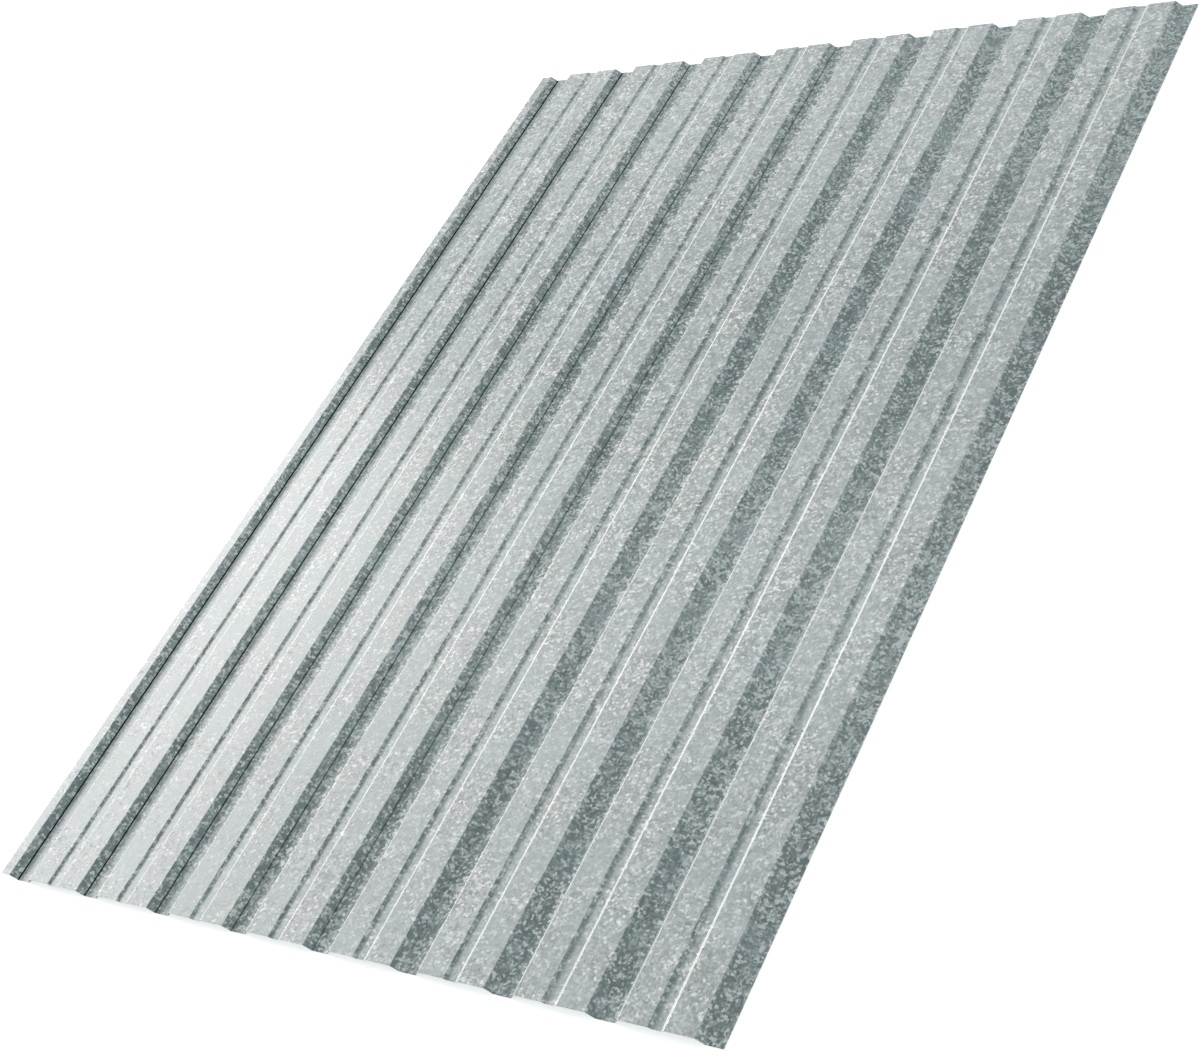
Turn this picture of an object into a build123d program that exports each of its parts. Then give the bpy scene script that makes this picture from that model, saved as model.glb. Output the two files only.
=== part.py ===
from build123d import *
import math
import os

# A galvanised profiled steel sheet, roll formed in one piece from a flat coil. It lies flat with its wide
# crowns up and its narrow valleys on the floor. X runs across the ribs, Y along them and Z up. The origin
# is at floor level, under the middle of the sheet.

# The sheet as it is sold: the coil's thickness, the cut length and the width that one laid sheet covers.
steel_thickness = 0.5
sheet_length = 1700.0
cover_width = 1130.0
rib_count = 8

# The rolled wave: a narrow flat valley and a wide flat crown, joined by slopes.
profile_height = 10.0
valley_width = 25.7
slope_angle = 48.0

# The shallow stiffening groove along the middle of each crown.
groove_depth = 2.2
groove_floor_width = 13.8
groove_slope_angle = 32.0

# The flat flanges at the two long edges: a strip of crown that laps over the next sheet, and a strip of
# valley that lies under the one before.
lap_flange_width = 18.5
under_flange_width = 22.95

# The rolls' bend radius on the inner side of every bend.
bend_radius = 0.8

# Sizes that follow from those above, all measured on the middle of the steel.
rib_pitch = cover_width / rib_count
floor_level = steel_thickness / 2
crown_level = profile_height - steel_thickness / 2
groove_level = crown_level - groove_depth
slope_run = (crown_level - floor_level) / math.tan(math.radians(slope_angle))
groove_slope_run = groove_depth / math.tan(math.radians(groove_slope_angle))
crown_width = rib_pitch - valley_width - 2 * slope_run
crown_flat_width = (crown_width - groove_floor_width - 2 * groove_slope_run) / 2
sheet_width = lap_flange_width + cover_width + slope_run + under_flange_width
middle_bend_radius = bend_radius + steel_thickness / 2


def walk(start_x, steps):
    """Corners reached from start_x by a list of (run across, level) steps."""
    corners = []
    x = start_x
    for run, level in steps:
        x += run
        corners.append((x, level))
    return corners


def section_corners():
    """Sharp corners of the section's middle line, from the lap flange's edge to the under flange's edge."""
    slope_down = (slope_run, floor_level)
    slope_up = (slope_run, crown_level)
    valley = (valley_width, floor_level)
    crown_flat = (crown_flat_width, crown_level)
    groove = [
        (groove_slope_run, groove_level),
        (groove_floor_width, groove_level),
        (groove_slope_run, crown_level),
    ]
    rib = [slope_down, valley, slope_up, crown_flat, *groove, crown_flat]
    lap_flange = [(0, crown_level), (lap_flange_width, crown_level)]
    under_flange = [slope_down, (under_flange_width, floor_level)]
    return walk(-sheet_width / 2, lap_flange + rib_count * rib + under_flange)


def profiled_sheet():
    """The rolled section, bent round at every corner and one steel thick, run along the sheet's length."""
    with BuildPart() as sheet:
        with BuildSketch(Plane.XZ):
            with BuildLine():
                FilletPolyline(*section_corners(), radius=middle_bend_radius)
            trace(line_width=steel_thickness)
        extrude(amount=sheet_length / 2, both=True)
    return sheet.part


os.makedirs("parts", exist_ok=True)
export_step(profiled_sheet(), "parts/profiled_sheet.step")
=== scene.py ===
import math

import bpy
import numpy as np
from mathutils import Matrix


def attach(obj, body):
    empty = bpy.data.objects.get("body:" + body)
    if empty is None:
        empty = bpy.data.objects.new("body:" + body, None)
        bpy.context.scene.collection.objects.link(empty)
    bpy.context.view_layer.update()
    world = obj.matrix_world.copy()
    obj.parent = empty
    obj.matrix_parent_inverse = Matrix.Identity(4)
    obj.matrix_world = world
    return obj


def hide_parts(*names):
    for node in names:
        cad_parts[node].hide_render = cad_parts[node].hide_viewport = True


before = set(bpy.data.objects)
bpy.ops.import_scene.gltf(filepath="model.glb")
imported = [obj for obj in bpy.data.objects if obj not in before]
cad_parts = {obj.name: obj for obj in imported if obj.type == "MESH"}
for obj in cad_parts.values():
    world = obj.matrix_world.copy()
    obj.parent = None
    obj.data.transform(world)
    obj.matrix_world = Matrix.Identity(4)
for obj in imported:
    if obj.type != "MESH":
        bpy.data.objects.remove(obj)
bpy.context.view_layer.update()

# The sheet.
# One piece of hot-dip galvanised steel coil, half a millimetre thick, folded by rolls along straight lines
# into low trapezoidal ribs and sheared to length. It lies on the floor on its narrow valleys.
mm = 0.001
steel_thickness = 0.5 * mm
sheet_length = 1700 * mm
cover_width = 1130 * mm
rib_count = 8
profile_height = 10 * mm
valley_width = 25.7 * mm
slope_angle = math.radians(48)
groove_depth = 2.2 * mm
groove_floor_width = 13.8 * mm
groove_slope_angle = math.radians(32)
lap_flange_width = 18.5 * mm
under_flange_width = 22.95 * mm
bend_radius = 0.8 * mm

# Sizes that follow from those above, measured on the middle of the steel.
rib_pitch = cover_width / rib_count
floor_level = steel_thickness / 2
crown_level = profile_height - steel_thickness / 2
slope_run = (crown_level - floor_level) / math.tan(slope_angle)
groove_slope_run = groove_depth / math.tan(groove_slope_angle)
crown_width = rib_pitch - valley_width - 2 * slope_run
crown_flat_width = (crown_width - groove_floor_width - 2 * groove_slope_run) / 2
sheet_width = lap_flange_width + cover_width + slope_run + under_flange_width
middle_bend_radius = bend_radius + steel_thickness / 2

# How finely it is drawn: points on the flat before a bend, on its arc and on the flat after it, rings along
# the length, and the angle past which an edge is sheared and not rolled.
before_bend = (0.65 * mm, 0.6 * mm, 0.05 * mm)
arc_points = 6
after_bend = (1.2 * mm, 2.4 * mm, 2.85 * mm)
bend_points = len(before_bend) + arc_points + len(after_bend)
ring_count = 18
sheared_angle = math.radians(40)


def section_corners():
    """Sharp corners of the section's middle line: the running sum of the runs across, beside the level each
    run ends at, for the lap flange, then every rib, then the under flange."""
    groove_level = crown_level - groove_depth
    rib_runs = [slope_run, valley_width, slope_run, crown_flat_width,
                groove_slope_run, groove_floor_width, groove_slope_run, crown_flat_width]
    rib_levels = [floor_level, floor_level, crown_level, crown_level,
                  groove_level, groove_level, crown_level, crown_level]
    runs = np.array([0, lap_flange_width] + rib_count * rib_runs + [slope_run, under_flange_width])
    levels = np.array([crown_level, crown_level] + rib_count * rib_levels + [floor_level, floor_level])
    return np.stack([np.cumsum(runs) - sheet_width / 2, levels], axis=1)


def rolled_line(corners, radius):
    """The middle line with every corner bent round, and its unit normal on the crown side.
    A bend starts one tangent length before its corner, the radius times the tangent of half the turn, and
    runs along start + radius * (sine of the angle along the run + (1 - cosine) towards the inner side).
    The points before and after each bend keep the flats flat in the shading."""
    runs = np.diff(corners, axis=0)
    runs /= np.linalg.norm(runs, axis=1, keepdims=True)
    sides = np.stack([-runs[:, 1], runs[:, 0]], axis=1)
    before, after, side = runs[:-1], runs[1:], sides[:-1]
    turn = np.arctan2((side * after).sum(1), (before * after).sum(1))[:, None, None]
    tangent = radius * np.tan(np.abs(turn[:, 0]) / 2)
    angle = turn * np.linspace(0, 1, arc_points)[None, :, None]
    start = (corners[1:-1] - before * tangent)[:, None]
    end = (corners[1:-1] + after * tangent)[:, None]
    along, inward = before[:, None], side[:, None]
    arc = start + radius * (np.sin(np.abs(angle)) * along + np.sign(turn) * (1 - np.cos(angle)) * inward)
    arc_side = np.cos(angle) * inward - np.sin(angle) * along
    lead, trail = np.array(before_bend)[:, None], np.array(after_bend)[:, None]
    bends = np.concatenate([start - lead * along, arc, end + trail * after[:, None]], axis=1)
    bend_sides = arc_side[:, np.clip(np.arange(bend_points) - len(lead), 0, arc_points - 1)]
    line = np.concatenate([corners[:1], bends.reshape(-1, 2), corners[-1:]])
    return line, np.concatenate([sides[:1], bend_sides.reshape(-1, 2), sides[-1:]])


# The bends of one rib that carry a line of their own, numbered in the order of the section, and the points of
# a bend that the line covers.
rib_bends = 8
slope_foot = 1
crown_edge = 3
groove_foot = 6
groove_edge = 7
arc_start = len(before_bend)
arc_end = arc_start + arc_points
whole_arc = slice(arc_start, arc_end)
lead_and_arc = slice(1, arc_end)
most_of_arc = slice(arc_start, arc_end - 1)
arc_and_trail = slice(arc_start, arc_end + 1)
further_trail = arc_end + 1

# The zinc's looks, each from 0 to about 1. The valleys' tone, paler than the crowns', is painted light in
# part, and the bends' pale tone is a painted highlight.
valley_tone = 0.49
crown_tone = 0.43
# The tone of the painted highlight on the bends.
painted_highlight_tone = 0.7
crown_spangle = 0.44
slope_spangle = 1.02
gloss = 0.27
dull = 0.06
underside = {"tone": 0.48, "spangle": 0.7, "mirror": gloss, "painted_crease_shade": 0}


def face_looks(line, side, along):
    """Four looks at each point of the ring, as straight ramps over its place, in metres from the sheet's
    middle, and over its lean, the sideways part of its normal, below zero where it looks to the lap flange.
    Tone: valleys paler than crowns, a painted light that lifts the shade in them; slopes darker, most where
    they face the lamp, a painted shade that dims its light on them; the first rib a little darker, a painted
    shade that dims the highlight there; and faces that look to the lap flange paler half way along and darker
    at the ends, painted light and shade that follow the lamp. The bends at the crown's edge and on the
    groove's rise are palest, a painted highlight, less at the far end and on the last ribs.
    Spangle: calm on crowns and in the first valleys, nearly none on faces that look to the lap flange, and
    full on slopes that look away from it.
    Mirror: the gloss of a dark crystal, less by the lap flange and nearly none on faces that look to it.
    Painted crease shade: a dark line at the foot of each falling slope, less and narrower from rib to rib."""
    across, level = line[:, 0], line[:, 1]
    lean = side[:, 0]
    rib = np.arange(rib_count)

    # Painted light and shade: valleys paler to lift their shade, slopes darker where they face the lamp, the
    # first rib darker under its highlight, and lamp-facing faces paler half way along and darker at the ends.
    tone = np.interp(level, [1 * mm, 4 * mm], [valley_tone, crown_tone])
    tone += np.interp(lean, [-0.74, -0.62, -0.53, -0.4, 0.5, 0.74], [-0.4, 0, -0.1, 0, 0, -0.05])
    tone -= np.interp(across, [-0.57, -0.44], [0.03, 0])
    painted_lamp_fade = np.interp(along, [-0.6, 0, 0.2, 0.7], [0.06, -0.05, -0.05, 0.06])[:, None]
    tone = tone - painted_lamp_fade * np.interp(lean, [-0.3, -0.1], [1, 0])

    # Painted highlight: the bends at the crown's edge and on the groove's rise get a pale tone, less at the
    # far end and on the last ribs.
    edge = np.interp(rib, [4, 7], [0.82, 0.64])
    edge = edge - np.interp(along, [-0.6, 0, 0.7], [0.12, 0.06, 0.38])[:, None]
    rise = painted_highlight_tone - np.interp(along, [-0.6, 0, 0.7], [0.07, -0.01, 0.02])[:, None]
    rise = rise - np.interp(along, [-0.5, 0, 0.7], [0, 0.12, 0.2])[:, None] * np.interp(rib, [1, 7], [0, 1])
    bends = tone[:, 1:-1].reshape(len(along), -1, bend_points)
    bends[:, crown_edge::rib_bends, whole_arc] = edge[:, :, None]
    bends[:, groove_foot::rib_bends, lead_and_arc] = rise[:, :, None]
    bends[:, groove_edge::rib_bends, most_of_arc] = rise[:, :, None]
    tone[:, 1:-1] = bends.reshape(len(along), -1)

    low = np.interp(level, [4 * mm, 7 * mm], [1, 0])
    spangle = crown_spangle + low * np.interp(across, [-0.55, -0.1], [0.05, 0.61])
    spangle *= np.interp(lean, [-0.4, -0.1], [0.12, 1])
    spangle = np.maximum(spangle, np.interp(lean, [0.1, 0.4], [0, slope_spangle]))

    mirror = np.interp(lean, [-0.45, -0.2], [dull, gloss]) * np.interp(across, [-0.52, -0.4], [0.78, 1])

    # Painted crease shade: a dark line on the bend and just past it at each slope's foot, strongest on the
    # first ribs.
    creases = np.zeros((bends.shape[1], bend_points))
    feet = np.arange(slope_foot, len(creases), rib_bends)
    foot = np.arange(len(feet))
    creases[feet, arc_and_trail] = np.interp(foot, [1, 4, 5.5], [1, 0.6, 0])[:, None]
    creases[feet, further_trail] = np.interp(foot, [0, 2.5], [1, 0])
    crease_shade = np.concatenate([[0], creases.ravel(), [0]])

    upper = {"tone": tone, "spangle": spangle, "mirror": mirror, "painted_crease_shade": crease_shade}
    looks = {}
    for look, values in upper.items():
        looks[look] = np.empty((len(along), 2, len(line)))
        looks[look][:, 0] = values
        looks[look][:, 1] = underside[look]
    return looks


def rolled_sheet(name):
    """A closed skin: the middle line moved half the thickness to each side, joined at the long edges, carried
    along straight rings from end to end, with a strip of quads across the steel at each sheared end."""
    line, side = rolled_line(section_corners(), middle_bend_radius)
    top = line + side * steel_thickness / 2
    bottom = line - side * steel_thickness / 2
    ring = np.concatenate([top, bottom[::-1]])
    along = np.linspace(-sheet_length / 2, sheet_length / 2, ring_count)
    points = np.empty((ring_count, len(ring), 3))
    points[:, :, 0] = ring[:, 0]
    points[:, :, 1] = along[:, None]
    points[:, :, 2] = ring[:, 1]
    index = np.arange(ring_count * len(ring)).reshape(ring_count, len(ring))
    here, over = index, np.roll(index, -1, axis=1)
    skin = np.stack([here[:-1], over[:-1], over[1:], here[1:]], axis=-1).reshape(-1, 4)
    upper, lower = index[:, :len(top)], index[:, :len(top) - 1:-1]
    near = np.stack([upper[0, :-1], lower[0, :-1], lower[0, 1:], upper[0, 1:]], axis=-1)
    far = np.stack([upper[-1, 1:], lower[-1, 1:], lower[-1, :-1], upper[-1, :-1]], axis=-1)
    mesh = bpy.data.meshes.new(name)
    mesh.from_pydata(points.reshape(-1, 3), [], np.concatenate([skin, near, far]))
    for look, values in face_looks(line, side, along).items():
        mesh.attributes.new(look, "FLOAT", "POINT").data.foreach_set("value", values.ravel())
    mesh.shade_smooth()
    mesh.set_sharp_from_angle(angle=sheared_angle)
    piece = bpy.data.objects.new(name, mesh)
    bpy.context.scene.collection.objects.link(piece)
    return piece


sheet = rolled_sheet("galvanised_sheet")


def linear(hex_colour):
    """A colour written as sRGB hex, in the linear light that the shaders take."""
    value = np.array([int(hex_colour[i:i + 2], 16) for i in (1, 3, 5)]) / 255
    return (*np.where(value <= 0.04045, value / 12.92, ((value + 0.055) / 1.055) ** 2.4).tolist(), 1)


def add(tree, kind, settings=None, links=None):
    """Adds one node, sets its own settings or the inputs of that name, and links its inputs from sockets."""
    node = tree.nodes.new(kind)
    for key, value in (settings or {}).items():
        if isinstance(key, str) and hasattr(node, key):
            setattr(node, key, value)
        else:
            node.inputs[key].default_value = value
    for key, socket in (links or {}).items():
        tree.links.new(socket, node.inputs[key])
    return node


# Hot-dip galvanised steel: the zinc froze in crystals, the spangle, and each lies at its own tilt. The eye
# sees a satin grey broken into small ragged flecks, with clouds of plainer and busier spangle, a slow drift
# of shade along the coil and a faint green or violet cast. Dark crystals mirror the light, pale ones less.
dark_zinc = linear("#929d9e")
pale_zinc = linear("#f8fcfc")
# The colour of the painted shade in the creases.
crease_shade_colour = linear("#101817")
ragged_size = 4 * mm
ragged_reach = 2 * mm
blotch_size = 8 * mm
crystal_size = 5 * mm
fleck_size = 3.4 * mm
grain_size = 1.5 * mm
cloud_size = 70 * mm
cast_size = 70 * mm
drift_length = 1000 * mm

# How much each part of the spangle swings the shade, and the mean of them all, which is taken off again so
# that the zinc keeps its tone. The rarer a kind of crystal is, the higher its power.
facet_share = 0.18 / mm
blotch_share = 0.48
blotch_rarity = 2.5
fleck_share = 1.22
fleck_rarity = 4.5
grain_share = 0.63
mean_share = 0.675
plain_cloud = 0.64
busy_cloud = 1.36
drift_swing = 0.095
cast_base = (0.94, 0.98, 0.965)
cast_swing = (0.12, 0.04, 0.07)
mirror_shade = 0.24
dull_shade = 0.52
crystal_tilt = 0.012
satin = 0.36

zinc = bpy.data.materials.new("galvanised_zinc_spangle")
zinc.use_nodes = True
tree = zinc.node_tree
tree.nodes.clear()

# Ragged crystals of three sizes, and a grain in them that is finer on real zinc, drawn coarse enough to show.
place = add(tree, "ShaderNodeTexCoord").outputs["Object"]
ragged = add(tree, "ShaderNodeTexNoise", {"Scale": 1 / ragged_size, "Detail": 2}, {"Vector": place})
ragged = add(tree, "ShaderNodeVectorMath", {"operation": "MULTIPLY_ADD", 1: (ragged_reach,) * 3},
             {0: ragged.outputs["Color"], 2: place}).outputs["Vector"]
blotch = add(tree, "ShaderNodeTexVoronoi", {"Scale": 1 / blotch_size}, {"Vector": ragged})
crystal = add(tree, "ShaderNodeTexVoronoi", {"Scale": 1 / crystal_size}, {"Vector": ragged})
fleck = add(tree, "ShaderNodeTexVoronoi", {"Scale": 1 / fleck_size}, {"Vector": ragged})
grain = add(tree, "ShaderNodeTexNoise", {"Scale": 1 / grain_size, "Detail": 1}, {"Vector": place})

# Few blotches and fewer flecks are pale, and each crystal shades from side to side by the way it faces.
blotch = add(tree, "ShaderNodeSeparateColor", links={"Color": blotch.outputs["Color"]}).outputs["Red"]
blotch = add(tree, "ShaderNodeMath", {"operation": "POWER", 1: blotch_rarity}, {0: blotch}).outputs[0]
fleck = add(tree, "ShaderNodeSeparateColor", links={"Color": fleck.outputs["Color"]}).outputs["Red"]
fleck = add(tree, "ShaderNodeMath", {"operation": "POWER", 1: fleck_rarity}, {0: fleck}).outputs[0]
facing = add(tree, "ShaderNodeVectorMath", {"operation": "SUBTRACT", 1: (0.5,) * 3},
             {0: crystal.outputs["Color"]}).outputs["Vector"]
facet = add(tree, "ShaderNodeVectorMath", {"operation": "SUBTRACT"},
            {0: ragged, 1: crystal.outputs["Position"]}).outputs["Vector"]
facet = add(tree, "ShaderNodeVectorMath", {"operation": "DOT_PRODUCT"},
            {0: facing, 1: facet}).outputs["Value"]

# The shade is the sum of them, more in busy clouds and less in plain ones, with the drift along the coil,
# times the face's spangle, about the face's tone. A wave of scale 1 repeats every tenth of pi metres, and
# most of a noise lies between 0.35 and 0.65.
cloud = add(tree, "ShaderNodeTexNoise", {"Scale": 1 / cloud_size, "Detail": 3}, {"Vector": place})
busy = add(tree, "ShaderNodeMapRange",
           {"From Min": 0.35, "From Max": 0.65, "To Min": plain_cloud, "To Max": busy_cloud},
           {"Value": cloud.outputs["Fac"]}).outputs["Result"]
drift = add(tree, "ShaderNodeTexWave",
            {"bands_direction": "Y", "Scale": math.pi / 10 / drift_length, "Phase Offset": 1.5 * math.pi},
            {"Vector": place}).outputs["Fac"]
drift = add(tree, "ShaderNodeMath", {"operation": "MULTIPLY_ADD", 1: 2 * drift_swing, 2: -drift_swing},
            {0: drift}).outputs[0]
tone = add(tree, "ShaderNodeAttribute", {"attribute_name": "tone"}).outputs["Fac"]
spangle = add(tree, "ShaderNodeAttribute", {"attribute_name": "spangle"}).outputs["Fac"]
shade = add(tree, "ShaderNodeMath", {"operation": "MULTIPLY_ADD", 1: facet_share, 2: -mean_share},
            {0: facet}).outputs[0]
shade = add(tree, "ShaderNodeMath", {"operation": "MULTIPLY_ADD", 1: blotch_share},
            {0: blotch, 2: shade}).outputs[0]
shade = add(tree, "ShaderNodeMath", {"operation": "MULTIPLY_ADD", 1: fleck_share},
            {0: fleck, 2: shade}).outputs[0]
shade = add(tree, "ShaderNodeMath", {"operation": "MULTIPLY_ADD", 1: grain_share},
            {0: grain.outputs["Fac"], 2: shade}).outputs[0]
shade = add(tree, "ShaderNodeMath", {"operation": "MULTIPLY_ADD"}, {0: shade, 1: busy, 2: drift}).outputs[0]
shade = add(tree, "ShaderNodeMath", {"operation": "MULTIPLY_ADD"},
            {0: shade, 1: spangle, 2: tone}).outputs[0]

# A dark crystal mirrors as much as its face may, and a pale one is dull.
mirror = add(tree, "ShaderNodeAttribute", {"attribute_name": "mirror"}).outputs["Fac"]
mirror = add(tree, "ShaderNodeMapRange", {"From Min": mirror_shade, "From Max": dull_shade, "To Max": dull},
             {"Value": shade, "To Min": mirror}).outputs["Result"]

# The colour runs from dark to pale zinc with the shade, under the cast, and goes to a painted shade in the
# creases.
cast = add(tree, "ShaderNodeTexNoise", {"Scale": 1 / cast_size, "Detail": 4}, {"Vector": place})
cast = add(tree, "ShaderNodeVectorMath",
           {"operation": "MULTIPLY_ADD", 1: cast_swing, 2: cast_base},
           {0: cast.outputs["Color"]}).outputs["Vector"]
colour = add(tree, "ShaderNodeMix", {"data_type": "RGBA", "clamp_factor": True, 6: dark_zinc, 7: pale_zinc},
             {0: shade}).outputs[2]
colour = add(tree, "ShaderNodeVectorMath", {"operation": "MULTIPLY"}, {0: colour, 1: cast}).outputs["Vector"]
crease_shade = add(tree, "ShaderNodeAttribute", {"attribute_name": "painted_crease_shade"}).outputs["Fac"]
colour = add(tree, "ShaderNodeMix", {"data_type": "RGBA", 7: crease_shade_colour}, {0: crease_shade, 6: colour}).outputs[2]

# Each crystal tips the surface a little. All the gloss is the metal's, so the clear reflection is off.
tilt = add(tree, "ShaderNodeVectorMath", {"operation": "MULTIPLY_ADD", 1: (crystal_tilt,) * 3},
           {0: facing, 2: add(tree, "ShaderNodeNewGeometry").outputs["Normal"]}).outputs["Vector"]
tilt = add(tree, "ShaderNodeVectorMath", {"operation": "NORMALIZE"}, {0: tilt}).outputs["Vector"]
surface = add(tree, "ShaderNodeBsdfPrincipled", {"Roughness": satin, "Specular IOR Level": 0.0},
              {"Base Color": colour, "Metallic": mirror, "Normal": tilt})
add(tree, "ShaderNodeOutputMaterial", links={"Surface": surface.outputs["BSDF"]})
sheet.data.materials.append(zinc)

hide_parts("profiled_sheet")
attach(sheet, "root")

# The floor.
# Seamless studio paper, laid flat far past the picture's edges. It lies a tenth of a millimetre under the
# sheet's valleys, so that the two don't share a plane.
paper_reach = 60.0
paper_drop = 0.1 * mm
floor_mesh = bpy.data.meshes.new("floor")
floor_mesh.from_pydata([(-paper_reach, -paper_reach, -paper_drop), (paper_reach, -paper_reach, -paper_drop),
                        (paper_reach, paper_reach, -paper_drop), (-paper_reach, paper_reach, -paper_drop)],
                       [], [(0, 1, 2, 3)])
floor = bpy.data.objects.new("floor", floor_mesh)
bpy.context.scene.collection.objects.link(floor)


def background_rays(tree):
    """A socket that is 1 for rays that show the background, straight, mirrored or through glass, else 0."""
    path = add(tree, "ShaderNodeLightPath").outputs
    straight_or_mirrored = add(tree, "ShaderNodeMath", {"operation": "MAXIMUM"},
                               {0: path["Is Camera Ray"], 1: path["Is Glossy Ray"]}).outputs[0]
    return add(tree, "ShaderNodeMath", {"operation": "MAXIMUM"},
               {0: straight_or_mirrored, 1: path["Is Transmission Ray"]}).outputs[0]


# White studio paper: matt pulp with no gloss. It shows as plain white, with the sheet's shadow faint on it.
paper_white = linear("#f2f2f2")
paper_glow = 0.6
paper = bpy.data.materials.new("white_studio_paper")
paper.use_nodes = True
tree = paper.node_tree
tree.nodes.clear()
matt = add(tree, "ShaderNodeBsdfDiffuse", {"Color": paper_white})
glow = add(tree, "ShaderNodeMath", {"operation": "MULTIPLY", 1: paper_glow}, {0: background_rays(tree)})
glow = add(tree, "ShaderNodeEmission", links={"Strength": glow.outputs[0]})
both = add(tree, "ShaderNodeAddShader", links={0: matt.outputs[0], 1: glow.outputs[0]})
add(tree, "ShaderNodeOutputMaterial", links={"Surface": both.outputs[0]})
floor.data.materials.append(paper)

# The light.
# A grey studio gives an even light all round, and a white cove stands behind the paper, up to about 20
# degrees. One soft lamp, low on the lap flange's side, lights the whole sheet as evenly as a far one would.
studio_grey = (0.447, 0.49, 0.49, 1)
cove_white = (1, 1, 1, 1)

# Where the cove's white ends and where the grey is full, as the sine of the angle above the floor.
cove_end = 0.3
grey_start = 0.4
world = bpy.data.worlds.new("grey_studio")
bpy.context.scene.world = world
world.use_nodes = True
tree = world.node_tree
tree.nodes.clear()
height = add(tree, "ShaderNodeTexCoord").outputs["Generated"]
height = add(tree, "ShaderNodeSeparateXYZ", links={"Vector": height}).outputs["Z"]
cove = add(tree, "ShaderNodeMapRange",
           {"From Min": cove_end, "From Max": grey_start, "To Min": 1, "To Max": 0},
           {"Value": height}).outputs["Result"]
cove = add(tree, "ShaderNodeMath", {"operation": "MULTIPLY"}, {0: background_rays(tree), 1: cove}).outputs[0]
room = add(tree, "ShaderNodeMix", {"data_type": "RGBA", 6: studio_grey, 7: cove_white}, {0: cove})
around = add(tree, "ShaderNodeBackground", links={"Color": room.outputs[2]})
add(tree, "ShaderNodeOutputWorld", links={"Surface": around.outputs[0]})

lamp = bpy.data.lights.new("side_softbox", "AREA")
lamp.shape = "RECTANGLE"
lamp.size = 2.0
lamp.size_y = 0.5
lamp.energy = 16.3
lamp.color = (1, 0.887, 0.882)
lamp.use_nodes = True
tree = lamp.node_tree
tree.nodes.clear()
even = add(tree, "ShaderNodeLightFalloff", {"Strength": 1})
even = add(tree, "ShaderNodeEmission", links={"Strength": even.outputs["Constant"]})
add(tree, "ShaderNodeOutputLight", links={"Surface": even.outputs[0]})
lamp_object = bpy.data.objects.new("side_softbox", lamp)
lamp_object.location = (-2.2, 0.2, 0.67)
lamp_object.rotation_euler = (-lamp_object.location).to_track_quat("-Z", "Y").to_euler()
bpy.context.scene.collection.objects.link(lamp_object)

# The camera.
# It looks down on the sheet from beyond its near corner on the under flange's side, turned so that the ribs
# rise to the right across the picture. Its three directions and its place are in the sheet's own frame.
picture_width, picture_height = 1200, 1051
focal_pixels = 2020.1
centre_x, centre_y = 551.3, 601.0
right = np.array([0.7846571874709581, 0.43566958789524746, -0.44102733286424634])
down = np.array([0.06413498573493534, -0.764646321907876, -0.6412508916153928])
ahead = np.array([-0.6166034396230248, 0.4748768393762134, -0.6279268951630538])
camera_place = (1.68739374, -1.55185855, 1.65666903)
camera = bpy.data.cameras.new("camera")
camera.sensor_width = 36
camera.lens = focal_pixels / picture_width * camera.sensor_width
camera.shift_x = (picture_width / 2 - centre_x) / picture_width
camera.shift_y = (centre_y - picture_height / 2) / picture_width
camera_object = bpy.data.objects.new("camera", camera)
pose = np.eye(4)
pose[:3] = np.stack([right, -down, -ahead, camera_place], axis=1)
camera_object.matrix_world = Matrix(pose.tolist())
bpy.context.scene.collection.objects.link(camera_object)
bpy.context.scene.camera = camera_object

bpy.context.scene.view_settings.view_transform = "Standard"
